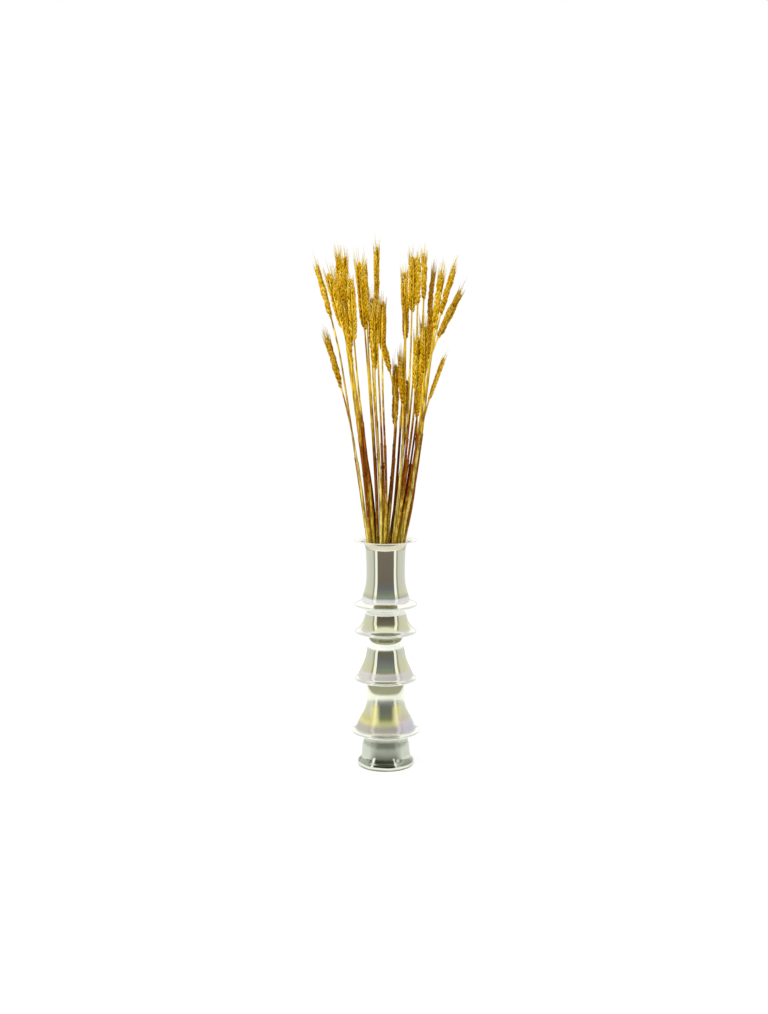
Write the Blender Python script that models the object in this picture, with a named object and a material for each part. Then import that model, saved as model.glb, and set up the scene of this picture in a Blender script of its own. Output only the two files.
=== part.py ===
"""A bunch of dried wheat standing in a tall, tiered vase of lustre glass.

The vase is one turned shell: a tube with a flared lip, then three bells and a skirted foot,
each with a thin trumpet rim, joined by narrow necks. It stands on its own flat base.
Each stalk is one solid, as it grew: a stem cut off flat at its foot, with the ear at its top.
The stems stand on the vase's inner floor, squeeze through its necks, lean on its lip and
fan out above it. Lengths are in millimetres below and in metres in the model. The origin is
the middle of the vase's base, +Z is up and -Y is the front.
"""
import math

import bmesh
import bpy
import numpy as np

MM = 0.001
MERGE_DISTANCE = 0.01
SHARP_ANGLE = 40.0

# Vase: stations (radius, height), from the lip's edge down the outside to the base.
VASE_SEGMENTS = 32
LIP_OUTSIDE = [(47.4, 350.0), (47.4, 348.8), (40.0, 348.0), (35.4, 346.6), (32.6, 343.8)]
TUBE_OUTSIDE = [(30.8, 338.6), (30.1, 332.0), (29.5, 318.0), (29.2, 298.0), (29.7, 286.5)]
TUBE_RIM = [(31.1, 278.0), (33.2, 269.8), (35.2, 263.0), (37.0, 258.2), (38.6, 256.2),
            (42.8, 253.8), (46.9, 251.6), (47.4, 249.8), (30.0, 247.8)]
UPPER_NECK = [(25.8, 246.2), (25.2, 243.2), (25.8, 241.2), (28.6, 240.2), (30.2, 239.0)]
SECOND_BELL = [(30.8, 237.0), (31.8, 232.4), (33.2, 227.8), (34.6, 223.8), (37.0, 219.4)]
SECOND_RIM = [(39.4, 215.8), (41.2, 213.6), (46.1, 209.7), (46.6, 207.6), (31.0, 205.4)]
MIDDLE_NECK = [(26.6, 203.2), (26.2, 193.8), (24.8, 191.4), (23.4, 189.6), (24.6, 187.4)]
THIRD_BELL = [(27.3, 185.0), (28.9, 180.8), (29.9, 174.4), (31.9, 166.4), (34.9, 158.6)]
THIRD_RIM = [(38.0, 151.6), (40.8, 145.6), (43.2, 140.0), (46.9, 136.8), (47.4, 134.2),
             (33.4, 131.8)]
LOWER_NECK = [(30.2, 129.0), (29.3, 120.0), (29.0, 112.0)]
FOURTH_BELL = [(29.6, 104.0), (31.2, 96.0), (33.3, 88.0), (36.2, 80.6), (39.6, 74.0)]
FOURTH_RIM = [(42.6, 67.8), (45.0, 62.0), (48.2, 57.4), (52.6, 55.0), (53.0, 52.6), (38.0, 50.4)]
FOOT_NECK = [(33.8, 47.6), (33.4, 41.0), (35.4, 35.6)]
FOOT_OUTSIDE = [(36.6, 27.0), (37.6, 17.0), (39.2, 11.2), (42.4, 7.6), (43.0, 3.4), (41.8, 0.0)]

# Vase: the inside, from its floor up to the lip's edge.
FLOOR_HEIGHT = 6.0
FOOT_INSIDE = [(31.5, 6.0), (34.6, 9.0), (34.2, 26.0), (30.4, 37.0), (30.4, 48.5)]
FOURTH_INSIDE = [(42.0, 58.0), (39.8, 68.0), (32.0, 82.0), (29.2, 92.5), (26.6, 106.0)]
THIRD_INSIDE = [(24.2, 117.0), (24.2, 130.5), (37.6, 140.0), (32.4, 154.0), (28.9, 164.0),
                (27.6, 172.5), (23.4, 179.0)]
SECOND_INSIDE = [(18.4, 185.4), (23.2, 192.5), (23.8, 204.0), (37.8, 212.0), (34.8, 219.0),
                 (30.8, 226.0), (28.2, 234.0)]
TUBE_INSIDE = [(20.6, 240.8), (22.8, 247.0), (36.0, 254.5), (31.2, 267.5), (27.4, 282.0),
               (26.1, 297.0), (26.3, 315.0), (27.4, 332.0)]
LIP_INSIDE = [(28.8, 338.6), (31.2, 343.6), (34.6, 347.4), (40.0, 349.4)]

# Stems: their radii, the gaps kept round them, and how the bundle runs inside the vase.
STEM_HEIGHTS = [6.0, 260.0, 325.0, 450.0, 620.0]
STEM_RADII = [1.6, 1.7, 2.05, 2.05, 1.35]
SHEATH_RADIUS = max(STEM_RADII)
STRAW_RADIUS = STEM_RADII[-1]
SEAT_GAP = 0.3
CLEARANCE = 0.75
CORE_RADIUS = 3.4
MOUTH_HEIGHT = 350.0
BUNDLE_HEIGHTS = [FLOOR_HEIGHT, 60.0, 125.0, 186.0, 241.0, 300.0, MOUTH_HEIGHT]
BUNDLE_RADII = [23.0, 22.0, 19.0, 16.2, 18.0, 23.6, 32.4]
STEM_RINGS = [FLOOR_HEIGHT, 65.0, 125.0, 186.0, 241.0, 300.0, 335.0, 365.0]
RING_SPACING = 62.0

# Fan above the mouth: its size where the ears start, its growth up to its full rise, how much
# the stems open at the mouth, the bend below each ear, and the bow of each arch.
FAN_WIDTH = 82.0
FAN_DEPTH = 82.0
FAN_RISE = 330.0
FAN_GROWTH = 0.55
MOUTH_SPREAD = 0.18
NECK_BEND = 80.0
BOW = 3.0
BOW_PEAK = 27 / 4

# Ears: (share of the length, share of the radius) from the ear's foot to its tip.
EAR_OUTLINE = [(0.14, 0.86), (0.42, 1.0), (0.76, 0.78), (1.0, 0.24)]

# One row for each stalk: the ear's foot, the ear's tip, and the ear's radius.
STALKS = [
    ((-82, 10, 683), (-104, 11, 763), 4.6),
    ((-62, -35, 665), (-84, -39, 745), 5.2),
    ((-60, 40, 666), (-77, 45, 747), 5.0),
    ((-64, -15, 701), (-70, -17, 775), 5.2),
    ((-61, 55, 694), (-64, 62, 777), 5.6),
    ((-46, -55, 650), (-51, -62, 738), 5.2),
    ((-55, 75, 636), (-57, 84, 719), 5.0),
    ((-50, 15, 610), (-64, 17, 695), 5.0),
    ((-67, -20, 580), (-88, -22, 655), 5.0),
    ((-31, -30, 665), (-39, -34, 762), 5.6),
    ((-28, 30, 673), (-32, 34, 767), 5.2),
    ((-14, 60, 707), (-14, 67, 792), 4.2),
    ((-21, 85, 636), (-21, 95, 716), 5.0),
    ((-16, -60, 607), (-17, -67, 692), 5.2),
    ((-5, -85, 633), (-4, -95, 703), 4.8),
    ((-12, 35, 643), (-13, 39, 711), 5.0),
    ((7, 50, 603), (-14, 54, 680), 4.8),
    ((29, 40, 689), (28, 45, 752), 4.8),
    ((31, 75, 651), (31, 84, 713), 4.6),
    ((38, -40, 690), (40, -45, 769), 5.6),
    ((49, 60, 704), (49, 67, 777), 5.4),
    ((56, -10, 709), (57, -11, 776), 5.2),
    ((67, 85, 685), (74, 95, 758), 4.6),
    ((70, -60, 664), (80, -67, 746), 5.6),
    ((83, 30, 688), (104, 34, 761), 5.2),
    ((77, -25, 653), (111, -28, 723), 5.0),
    ((64, 60, 618), (73, 67, 700), 5.4),
    ((56, -45, 599), (55, -50, 676), 5.6),
    ((43, -80, 578), (46, -90, 654), 5.4),
    ((54, 25, 553), (58, 28, 636), 5.2),
    ((66, 0, 561), (88, 0, 625), 3.4),
    ((14, 60, 521), (16, 67, 613), 4.8),
    ((25, -35, 555), (22, -39, 627), 5.0),
    ((32, 85, 535), (33, 95, 589), 4.4),
    ((47, -5, 535), (47, -6, 591), 4.6),
]

# Settling: how finely and how often the stalks are eased apart, how little they move
# sideways above the mouth, and how far each level follows its neighbours.
LEVEL_STEP = 15.0
NECK_ROUNDS = 600
PATH_ROUNDS = 500
SIDE_EASE = 0.08
SMOOTHING = 0.2
FAR = 1e9
TINY = 1e-9

LUSTRE = ((0.72, 0.73, 0.64, 1.0), 0.12, 0.9)
STRAW = ((0.52, 0.33, 0.08, 1.0), 0.6, 0.0)


def clear_scene():
    """Start from an empty scene."""
    for item in list(bpy.data.objects):
        bpy.data.objects.remove(item, do_unlink=True)


def plain_material(name, finish):
    """Principled material from a colour, a roughness and a metallic value."""
    colour, roughness, metallic = finish
    material = bpy.data.materials.new(name)
    material.use_nodes = True
    shader = material.node_tree.nodes["Principled BSDF"]
    shader.inputs["Base Color"].default_value = colour
    shader.inputs["Roughness"].default_value = roughness
    shader.inputs["Metallic"].default_value = metallic
    return material


def vase_outside():
    """Stations down the outside, from the lip's edge to the base."""
    return (LIP_OUTSIDE + TUBE_OUTSIDE + TUBE_RIM + UPPER_NECK + SECOND_BELL + SECOND_RIM
            + MIDDLE_NECK + THIRD_BELL + THIRD_RIM + LOWER_NECK + FOURTH_BELL + FOURTH_RIM
            + FOOT_NECK + FOOT_OUTSIDE)


def vase_inside():
    """Stations up the inside, from the floor to the lip."""
    return (FOOT_INSIDE + FOURTH_INSIDE + THIRD_INSIDE + SECOND_INSIDE + TUBE_INSIDE
            + LIP_INSIDE)


def turned_solid(name, stations, segments, material):
    """Solid turned about Z from (radius, height) stations that start and end on the axis."""
    shape = bmesh.new()
    profile = [shape.verts.new((radius * MM, 0.0, height * MM)) for radius, height in stations]
    edges = [shape.edges.new(pair) for pair in zip(profile, profile[1:])]
    bmesh.ops.spin(shape, geom=profile + edges, axis=(0, 0, 1), cent=(0, 0, 0),
                   angle=2 * math.pi, steps=segments, use_merge=True)
    bmesh.ops.remove_doubles(shape, verts=shape.verts, dist=MERGE_DISTANCE * MM)
    bmesh.ops.recalc_face_normals(shape, faces=shape.faces)
    mesh = bpy.data.meshes.new(name)
    shape.to_mesh(mesh)
    shape.free()
    mesh.shade_smooth()
    mesh.set_sharp_from_angle(angle=math.radians(SHARP_ANGLE))
    mesh.materials.append(material)
    piece = bpy.data.objects.new(name, mesh)
    bpy.context.collection.objects.link(piece)
    return piece


def build_vase(material):
    """The vase, with its base and its inner floor closed on the axis."""
    stations = ([(0.0, FLOOR_HEIGHT)] + vase_inside() + vase_outside() + [(0.0, 0.0)])
    return turned_solid("vase", stations, VASE_SEGMENTS, material)


def eased_apart(points, reach, rounds, limit):
    """Move points in a disc until each pair is reach apart and all lie within limit."""
    points = points.copy()
    inner = CORE_RADIUS + SHEATH_RADIUS
    for _ in range(rounds):
        offset = points[:, None] - points[None]
        distance = np.linalg.norm(offset, axis=2) + np.eye(len(points)) * FAR + TINY
        push = np.clip(reach - distance, 0.0, None) * 0.5
        points += (offset / distance[..., None] * push[..., None]).sum(axis=1)
        radius = np.linalg.norm(points, axis=1, keepdims=True)
        points *= np.clip(radius, inner, limit) / radius
    return points


def bundle_places():
    """Each stalk's place in the narrowest neck, in the order in which the ears fan out."""
    feet = np.array([foot for foot, _, _ in STALKS], dtype=float)
    rise = (feet[:, 2] - MOUTH_HEIGHT) / FAN_RISE
    spread = np.stack([feet[:, 0] / FAN_WIDTH, feet[:, 1] / FAN_DEPTH], axis=1)
    spread /= (1.0 - FAN_GROWTH + FAN_GROWTH * rise)[:, None]
    narrow = min(BUNDLE_RADII)
    reach = 2 * STEM_RADII[1] + CLEARANCE
    return eased_apart(spread * narrow, reach, NECK_ROUNDS, narrow) / narrow


def stalk_course(place, foot, tip, heights):
    """Where a stalk's middle lies at each height.

    It keeps its place in the bundle below the mouth, fans out in an arch that bows a little
    towards +X above it, bends over in the last stretch below the ear, and runs on
    straight through the ear.
    """
    bundle = np.interp(heights, BUNDLE_HEIGHTS, BUNDLE_RADII)[:, None] * place
    foot, tip = np.array(foot, dtype=float), np.array(tip, dtype=float)
    mouth = place * BUNDLE_RADII[-1]
    lean = (tip[:2] - foot[:2]) / (tip[2] - foot[2])
    rise = foot[2] - MOUTH_HEIGHT
    chord = (foot[:2] - mouth) / rise
    bend = (lean - chord) / (2 * NECK_BEND)
    aim = foot[:2] - bend * NECK_BEND**2
    step = np.clip((heights - MOUTH_HEIGHT) / rise, 0.0, 1.0)[:, None]
    arch = ((2 * step**3 - 3 * step**2 + 1) * mouth + (3 * step**2 - 2 * step**3) * aim
            + (step**3 - 2 * step**2 + step) * rise * MOUTH_SPREAD * place
            + (step**3 - step**2) * rise * chord)
    arch += BOW_PEAK * BOW * step * (1 - step)**2 * np.array([1.0, 0.0])
    neck = np.clip(heights - foot[2] + NECK_BEND, 0.0, NECK_BEND)[:, None]
    beyond = np.clip(heights - foot[2], 0.0, None)[:, None]
    return np.where(heights[:, None] < MOUTH_HEIGHT, bundle, arch + bend * neck**2 + beyond * lean)


def stem_radius(heights):
    """The stem's radius: a cut foot, a leaf sheath round its middle, thin straw above."""
    return np.interp(heights, STEM_HEIGHTS, STEM_RADII)


def stalk_radius(foot, tip, girth, heights):
    """The stalk's radius at each height, ear included, and none above the tip."""
    along = (heights - foot[2]) / (tip[2] - foot[2])
    marks, sizes = zip(*EAR_OUTLINE)
    ear = np.interp(along, (0.0,) + marks, (STRAW_RADIUS / girth,) + sizes) * girth
    radius = np.where(along < 0.0, stem_radius(heights), ear)
    return np.where(along > 1.0, np.nan, radius)


def settled_courses(heights):
    """Courses of all the stalks, eased apart level by level so that none touch."""
    places = bundle_places()
    course = np.stack([stalk_course(place, foot, tip, heights)
                       for place, (foot, tip, _) in zip(places, STALKS)])
    radius = np.stack([stalk_radius(foot, tip, girth, heights) for foot, tip, girth in STALKS])
    reach = np.nan_to_num(radius[:, None] + radius[None] + CLEARANCE, nan=-1.0)
    inside = vase_inside()
    wall = np.interp(heights, [z for _, z in inside], [r for r, _ in inside])
    limit = wall - np.nan_to_num(radius) - CLEARANCE
    ease = np.where(heights < MOUTH_HEIGHT, 1.0, SIDE_EASE)
    shift = np.zeros_like(course)
    itself = np.eye(len(course))[:, :, None] * FAR
    for _ in range(PATH_ROUNDS):
        now = course + shift
        offset = now[:, None] - now[None]
        distance = np.linalg.norm(offset, axis=3) + itself + TINY
        push = np.clip(reach - distance, 0.0, None) * 0.5 / distance
        move = (offset * push[..., None]).sum(axis=1)
        move[..., 0] *= ease
        shift += move
        beside = shift[:, :-2] + shift[:, 2:]
        shift[:, 1:-1] = (1 - 2 * SMOOTHING) * shift[:, 1:-1] + SMOOTHING * beside
        shift[:, 0] = shift[:, 1]
        now = course + shift
        out = np.linalg.norm(now, axis=2)
        kept_in = np.clip(out, CORE_RADIUS + SHEATH_RADIUS, limit)
        held = np.where(heights < MOUTH_HEIGHT, kept_in, out)
        shift += now * (held / out - 1.0)[..., None]
    return course + shift


def stalk_rings(foot, tip, girth):
    """Heights of a stalk's rings and the radius at each, from the cut foot to the tip."""
    stem_top = foot[2]
    count = math.ceil((stem_top - STEM_RINGS[-1]) / RING_SPACING)
    risers = np.linspace(STEM_RINGS[-1], stem_top, count + 1)[1:]
    marks, sizes = zip(*EAR_OUTLINE)
    ear = [stem_top + mark * (tip[2] - stem_top) for mark in marks]
    heights = np.array(STEM_RINGS + list(risers) + ear)
    heights[0] = FLOOR_HEIGHT + SEAT_GAP
    radii = np.concatenate([stem_radius(heights[:-len(ear)]), np.array(sizes) * girth])
    return heights, radii


def build_stalk(name, course, levels, row, material):
    """One stalk as a tapering tube through its rings, with flat closed ends."""
    foot, tip, girth = row
    heights, radii = stalk_rings(foot, tip, girth)
    curve = bpy.data.curves.new(name, "CURVE")
    curve.dimensions = "3D"
    curve.bevel_depth = STRAW_RADIUS * MM
    curve.bevel_resolution = 1
    curve.use_fill_caps = True
    spline = curve.splines.new("POLY")
    spline.points.add(len(heights) - 1)
    for point, height, radius in zip(spline.points, heights, radii):
        x = np.interp(height, levels, course[:, 0])
        y = np.interp(height, levels, course[:, 1])
        point.co = (x * MM, y * MM, height * MM, 1.0)
        point.radius = radius / STRAW_RADIUS
    spline.use_smooth = True
    curve.materials.append(material)
    piece = bpy.data.objects.new(name, curve)
    bpy.context.collection.objects.link(piece)
    return piece


def build_wheat(material):
    """All the stalks, in the order of their table."""
    top = max(tip[2] for _, tip, _ in STALKS)
    levels = np.arange(FLOOR_HEIGHT, top + LEVEL_STEP, LEVEL_STEP)
    courses = settled_courses(levels)
    for number, (course, row) in enumerate(zip(courses, STALKS), start=1):
        build_stalk(f"wheat_stalk_{number:02d}", course, levels, row, material)


def main():
    clear_scene()
    build_vase(plain_material("lustre_glass", LUSTRE))
    build_wheat(plain_material("dry_straw", STRAW))


main()
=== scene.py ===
"""A bunch of dried wheat in a tiered vase of lustre glass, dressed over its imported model.

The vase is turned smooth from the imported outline. Each stalk is a sheathed stem with an ear of
overlapping husks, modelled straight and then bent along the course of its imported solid.
Sizes are in metres, +Z is up and -Y is the front.
"""

import math
import random

import bpy
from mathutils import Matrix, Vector


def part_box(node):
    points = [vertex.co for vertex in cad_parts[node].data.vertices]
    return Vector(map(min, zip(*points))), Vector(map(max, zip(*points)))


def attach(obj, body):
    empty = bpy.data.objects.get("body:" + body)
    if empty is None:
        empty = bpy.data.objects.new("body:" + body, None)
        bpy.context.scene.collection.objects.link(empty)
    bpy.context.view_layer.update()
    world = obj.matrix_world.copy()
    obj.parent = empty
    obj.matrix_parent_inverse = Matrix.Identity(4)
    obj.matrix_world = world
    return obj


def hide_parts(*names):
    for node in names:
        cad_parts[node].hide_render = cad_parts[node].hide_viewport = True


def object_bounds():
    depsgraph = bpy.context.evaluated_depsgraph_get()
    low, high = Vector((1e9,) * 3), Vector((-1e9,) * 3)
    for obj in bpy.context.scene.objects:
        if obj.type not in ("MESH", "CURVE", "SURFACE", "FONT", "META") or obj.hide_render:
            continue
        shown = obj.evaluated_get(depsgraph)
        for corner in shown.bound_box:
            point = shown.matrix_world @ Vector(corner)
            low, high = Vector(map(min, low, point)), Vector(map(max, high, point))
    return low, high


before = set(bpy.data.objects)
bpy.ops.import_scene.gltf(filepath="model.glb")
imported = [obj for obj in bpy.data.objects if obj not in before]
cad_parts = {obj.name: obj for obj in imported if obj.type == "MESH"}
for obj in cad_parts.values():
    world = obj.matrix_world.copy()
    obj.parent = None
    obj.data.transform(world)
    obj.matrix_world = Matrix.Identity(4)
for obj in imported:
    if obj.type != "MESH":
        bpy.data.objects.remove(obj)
packed_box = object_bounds()

bl_info = {
    "name": "Dried Wheat in a Lustre Vase",
    "version": (1, 0, 0),
    "blender": (4, 5, 0),
    "location": "View3D > Sidebar > Dried Wheat",
    "description": "Dresses the packed vase and wheat stalks in their fine shapes and finishes",
    "category": "Object",
}

BODY = "root"
WELD = 0.00001
AXIS_X = (0.0, math.pi / 2, 0.0)
BLACK = (0.0, 0.0, 0.0)
WHITE = (1.0, 1.0, 1.0)

VASE_NODE = "vase"
GLASS_SLOT = "lustre_glass"
STRAW_SLOT = "dry_straw"
STALK_NODES = sorted(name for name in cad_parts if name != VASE_NODE)


# Settings

def colour_setting(name, description, default):
    """A property that holds a colour."""
    return bpy.props.FloatVectorProperty(name=name, description=description, default=default,
                                         subtype="COLOR", min=0.0, max=1.0)


def number_setting(name, description, default, **kind):
    """A property that holds a number."""
    return bpy.props.FloatProperty(name=name, description=description, default=default, **kind)


def length_setting(name, description, default):
    """A property that holds a length."""
    return number_setting(name, description, default, unit="LENGTH")


def angle_setting(name, description, degrees):
    """A property that holds an angle."""
    return number_setting(name, description, math.radians(degrees), subtype="ANGLE")


# Mesh helpers

def select_only(*pieces):
    """Select these objects alone, with the last one active."""
    bpy.ops.object.select_all(action="DESELECT")
    for piece in pieces:
        piece.select_set(True)
    bpy.context.view_layer.objects.active = pieces[-1]


def open_mesh():
    """Open the active object's mesh, with all of it selected."""
    bpy.ops.object.mode_set(mode="EDIT")
    bpy.ops.mesh.select_all(action="SELECT")


def place_in_mesh(piece):
    """Move a piece's place, turn and size into its mesh."""
    select_only(piece)
    bpy.ops.object.transform_apply(location=True, rotation=True, scale=True)


def own_copy(piece):
    """A copy of a piece with its own mesh."""
    copy = piece.copy()
    copy.data = piece.data.copy()
    bpy.context.collection.objects.link(copy)
    return copy


def joined(pieces, name):
    """Join pieces into one object."""
    select_only(*pieces)
    bpy.ops.object.join()
    whole = bpy.context.object
    whole.name = name
    whole.data.name = name
    return whole


def discard(*pieces):
    """Remove helper objects."""
    for piece in pieces:
        bpy.data.objects.remove(piece, do_unlink=True)


def set_mark(piece, name, values):
    """Write a number for each vertex of a piece, for its material to read."""
    marks = piece.data.attributes.get(name)
    if marks is None:
        marks = piece.data.attributes.new(name, "FLOAT", "POINT")
    marks.data.foreach_set("value", list(values))


def set_one_mark(piece, name, value):
    """Write the same number for every vertex of a piece."""
    set_mark(piece, name, [value] * len(piece.data.vertices))


def marks_of(piece, name):
    """The numbers that set_mark wrote."""
    return [item.value for item in piece.data.attributes[name].data]


def between(low, high, share):
    """The value at a share of the way from low to high."""
    return low + (high - low) * share


def read_off(table, place):
    """The value at a place in a table of (place, value) rows, straight between its rows."""
    for (start, low), (end, high) in zip(table, table[1:]):
        if place <= end:
            return between(low, high, max(place - start, 0.0) / (end - start))
    return table[-1][1]


def stray(chance, reach):
    """A random number up to a reach either side of nought."""
    return chance.uniform(-reach, reach)


def tube_along_x(name, sides, stations):
    """A closed tube along +X, extruded through (reach, radius, lift) stations."""
    reach, radius, lift = stations[0]
    bpy.ops.object.select_all(action="DESELECT")
    bpy.ops.mesh.primitive_circle_add(vertices=sides, radius=radius, fill_type="NGON",
                                      location=(reach, 0.0, lift), rotation=AXIS_X)
    tube = bpy.context.object
    tube.name = name
    open_mesh()
    for start, end in zip(stations, stations[1:]):
        step = (end[0] - start[0], 0.0, end[2] - start[2])
        bpy.ops.mesh.extrude_region_move(TRANSFORM_OT_translate={"value": step})
        growth = end[1] / start[1]
        bpy.ops.transform.resize(value=(1.0, growth, growth),
                                 center_override=(end[0], 0.0, end[2]))
    bpy.ops.mesh.select_all(action="SELECT")
    bpy.ops.mesh.normals_make_consistent(inside=False)
    bpy.ops.object.mode_set(mode="OBJECT")
    place_in_mesh(tube)
    return tube


def merged_copy(node):
    """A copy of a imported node's mesh with its loose triangles merged."""
    copy = bpy.data.objects.new(node + "_merged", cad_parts[node].data.copy())
    bpy.context.collection.objects.link(copy)
    select_only(copy)
    open_mesh()
    bpy.ops.mesh.remove_doubles(threshold=WELD)
    bpy.ops.object.mode_set(mode="OBJECT")
    return copy


def finish_piece(piece, slot, *nodes):
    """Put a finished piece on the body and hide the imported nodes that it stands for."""
    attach(piece, BODY)
    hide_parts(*nodes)


# Shader helpers

# The places of the Mix node's colour sockets among all its sockets.
MIX_SHARE, MIX_FIRST, MIX_SECOND, MIX_RESULT = 0, 6, 7, 2


def new_material(name):
    """A node material with its Principled shader."""
    material = bpy.data.materials.new(name)
    material.use_nodes = True
    return material, material.node_tree, material.node_tree.nodes["Principled BSDF"]


def node_of(tree, kind, **settings):
    """Add a node and set its properties."""
    node = tree.nodes.new(kind)
    for name, value in settings.items():
        setattr(node, name, value)
    return node


def feed(tree, node, inputs):
    """Link a socket, or set a plain value, on each of a node's inputs."""
    for name, value in inputs.items():
        if isinstance(value, bpy.types.NodeSocket):
            tree.links.new(value, node.inputs[name])
        else:
            node.inputs[name].default_value = value


def coordinates(tree, kind):
    """A texture coordinate, and its X, Y and Z."""
    whole = node_of(tree, "ShaderNodeTexCoord").outputs[kind]
    parts = node_of(tree, "ShaderNodeSeparateXYZ")
    tree.links.new(whole, parts.inputs[0])
    return whole, parts.outputs


def number_node(tree, operation, *values, clamp=False):
    """A Math node on sockets or plain numbers, and its output."""
    node = node_of(tree, "ShaderNodeMath", operation=operation, use_clamp=clamp)
    feed(tree, node, dict(enumerate(values)))
    return node.outputs[0]


def product(tree, first, *others):
    """Multiply sockets and plain numbers."""
    for other in others:
        first = number_node(tree, "MULTIPLY", first, other)
    return first


def centred(tree, value, width):
    """Spread a value between 0 and 1 over a width, half of it on each side of nought."""
    return product(tree, number_node(tree, "SUBTRACT", value, 0.5), width)


def dimmed(tree, value, mask, share):
    """Take a share off a value where a mask is 1."""
    return product(tree, value, number_node(tree, "SUBTRACT", 1.0, product(tree, mask, share)))


def ranged(tree, value, low, high, out_low=0.0, out_high=1.0):
    """Map a value smoothly from one range to another."""
    node = node_of(tree, "ShaderNodeMapRange", interpolation_type="SMOOTHSTEP")
    feed(tree, node, {"Value": value, "From Min": low, "From Max": high,
                      "To Min": out_low, "To Max": out_high})
    return node.outputs["Result"]


def within(tree, value, low, high, edge):
    """1 between two values and 0 outside them, with soft edges."""
    return product(tree, ranged(tree, value, low - edge, low + edge),
                   ranged(tree, value, high + edge, high - edge))


def opaque(colour):
    """A colour as the four numbers that a node takes. A socket stays as it is."""
    return colour if isinstance(colour, bpy.types.NodeSocket) else (*colour[:3], 1.0)


def mixed(tree, share, first, second, blend="MIX"):
    """Mix two colours, each a socket or an RGB value, by a share."""
    node = node_of(tree, "ShaderNodeMix", data_type="RGBA", blend_type=blend)
    feed(tree, node, {MIX_SHARE: share, MIX_FIRST: opaque(first), MIX_SECOND: opaque(second)})
    return node.outputs[MIX_RESULT]


def shaded(tree, colour, mask, dark, light):
    """Multiply a colour by a dark shade where a mask is 0 and by a light one where it is 1."""
    return mixed(tree, 1.0, colour, mixed(tree, mask, dark, light), blend="MULTIPLY")


def ramp(tree, value, stops):
    """Colours along a value, from (place, colour) stops."""
    node = node_of(tree, "ShaderNodeValToRGB")
    elements = node.color_ramp.elements
    while len(elements) < len(stops):
        elements.new(0.5)
    for element, (place, colour) in zip(elements, stops):
        element.position = place
        element.color = opaque(colour)
    tree.links.new(value, node.inputs["Fac"])
    return node.outputs["Color"]


def attribute_value(tree, name):
    """The number that set_mark wrote, for a shader."""
    return node_of(tree, "ShaderNodeAttribute", attribute_name=name).outputs["Fac"]


def grain_group():
    """Streaky grain on Object coordinates: a mask, and its normal."""
    group = bpy.data.node_groups.new("StreakyGrain", "ShaderNodeTree")
    face = group.interface
    face.new_socket("Position", in_out="INPUT", socket_type="NodeSocketVector")
    for name, default in (("Across", 900.0), ("Upwards", 30.0), ("Relief", 0.2)):
        socket = face.new_socket(name, in_out="INPUT", socket_type="NodeSocketFloat")
        socket.default_value = default
    face.new_socket("Mask", in_out="OUTPUT", socket_type="NodeSocketFloat")
    face.new_socket("Normal", in_out="OUTPUT", socket_type="NodeSocketVector")
    entry = node_of(group, "NodeGroupInput").outputs
    stretch = node_of(group, "ShaderNodeCombineXYZ")
    feed(group, stretch, {"X": entry["Across"], "Y": entry["Across"], "Z": entry["Upwards"]})
    scaled = node_of(group, "ShaderNodeVectorMath", operation="MULTIPLY")
    feed(group, scaled, {0: entry["Position"], 1: stretch.outputs[0]})
    noise = node_of(group, "ShaderNodeTexNoise", noise_dimensions="3D")
    feed(group, noise, {"Vector": scaled.outputs[0], "Scale": 1.0, "Detail": 3.0,
                        "Roughness": 0.55})
    mask = ranged(group, noise.outputs["Fac"], 0.32, 0.68)
    bump = node_of(group, "ShaderNodeBump")
    feed(group, bump, {"Distance": 0.0003, "Strength": entry["Relief"], "Height": mask})
    feed(group, node_of(group, "NodeGroupOutput"),
         {"Mask": mask, "Normal": bump.outputs["Normal"]})
    return group


def grain(tree, position, across, upwards, relief):
    """Place the streaky grain in a material; returns its mask and its normal."""
    group = bpy.data.node_groups.get("StreakyGrain") or grain_group()
    node = node_of(tree, "ShaderNodeGroup", node_tree=group)
    feed(tree, node, {"Position": position, "Across": across, "Upwards": upwards,
                      "Relief": relief})
    return node.outputs["Mask"], node.outputs["Normal"]


def soft_noise(tree, position, scale, low, high):
    """Broad clouds between 0 and 1."""
    noise = node_of(tree, "ShaderNodeTexNoise", noise_dimensions="3D")
    feed(tree, noise, {"Vector": position, "Scale": scale, "Detail": 2.0})
    return ranged(tree, noise.outputs["Fac"], low, high)
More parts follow.
